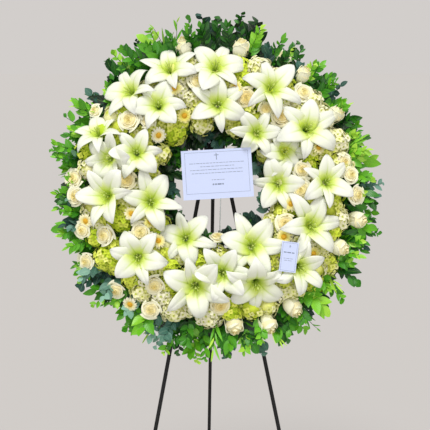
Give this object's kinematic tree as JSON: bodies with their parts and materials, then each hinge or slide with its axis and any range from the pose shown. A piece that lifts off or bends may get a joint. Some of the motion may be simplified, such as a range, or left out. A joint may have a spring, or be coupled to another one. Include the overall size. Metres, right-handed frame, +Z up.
{
  "type": "funeral wreath on a folding easel",
  "caption": "Round funeral wreath of white lilies, cream roses and greenery on a foam ring with a message card, standing on a folding three-legged easel.",
  "frame": {"origin": "on the floor, at the middle of the bounding box's base", "axes": "+Z up, +Y to the back of the easel where the rear leg stands, +X to the right of someone who faces the flowers"},
  "size_m": [1.03, 0.8348, 1.6728],
  "materials": {
    "steel": "satin black powder coat on steel rod",
    "zinc": "bright zinc-plated steel",
    "rubber": "matte moulded black rubber",
    "clear_plastic": "clear glossy moulded plastic",
    "tray_plastic": "dark green vacuum-formed plastic",
    "floral_foam": "wet dark green open-cell foam",
    "leaf": "glossy dark and bright green leaves",
    "blossom": "lime and cream small florets, soft and matte",
    "lily_petal": "waxy white petals with green throats",
    "rose_petal": "velvety ivory petals",
    "paper": "uncoated pale card with a thin printed border"
  },
  "bodies": {
    "easel_front": {"front_leg_left": "steel", "front_leg_right": "steel", "head_plate": "steel", "hinge_bolt": "zinc", "leg_bolt_left": "zinc", "leg_bolt_right": "zinc", "support_peg_left": "zinc", "support_peg_right": "zinc", "rubber_foot_left": "rubber", "rubber_foot_right": "rubber", "cable_tie": "clear_plastic", "foam_tray": "tray_plastic", "foam_ring": "floral_foam", "inner_foliage": "leaf", "outer_foliage_1": "leaf", "outer_foliage_2": "leaf", "outer_foliage_3": "leaf", "outer_foliage_4": "leaf", "flower_cushion_1": "blossom", "flower_cushion_2": "blossom", "flower_cushion_3": "blossom", "flower_cushion_4": "blossom", "lily_01": "lily_petal", "lily_02": "lily_petal", "lily_03": "lily_petal", "lily_04": "lily_petal", "lily_05": "lily_petal", "lily_06": "lily_petal", "lily_07": "lily_petal", "lily_08": "lily_petal", "lily_09": "lily_petal", "lily_10": "lily_petal", "lily_11": "lily_petal", "lily_12": "lily_petal", "lily_13": "lily_petal", "lily_14": "lily_petal", "lily_15": "lily_petal", "lily_16": "lily_petal", "lily_17": "lily_petal", "lily_18": "lily_petal", "lily_19": "lily_petal", "lily_20": "lily_petal", "lily_21": "lily_petal", "lily_22": "lily_petal", "lily_23": "lily_petal", "lily_24": "lily_petal", "rose_bud_1": "rose_petal", "rose_bud_2": "rose_petal", "rose_bud_3": "rose_petal", "rose_bud_4": "rose_petal", "rose_bud_5": "rose_petal", "rose_bud_6": "rose_petal", "rose_bud_7": "rose_petal", "rose_bud_8": "rose_petal", "rose_bud_9": "rose_petal", "message_card": "paper", "florist_tag": "paper", "card_pick": "clear_plastic"},
    "rear_leg": {"rear_leg": "steel", "rubber_foot_rear": "rubber"}
  },
  "joints": [
    {"name": "rear_leg_fold", "type": "hinge", "parent": "easel_front", "child": "rear_leg", "pos_m": [0, -0.09154, 1.37047], "axis": [1, 0, 0], "range_deg": [-31, 0]}
  ]
}
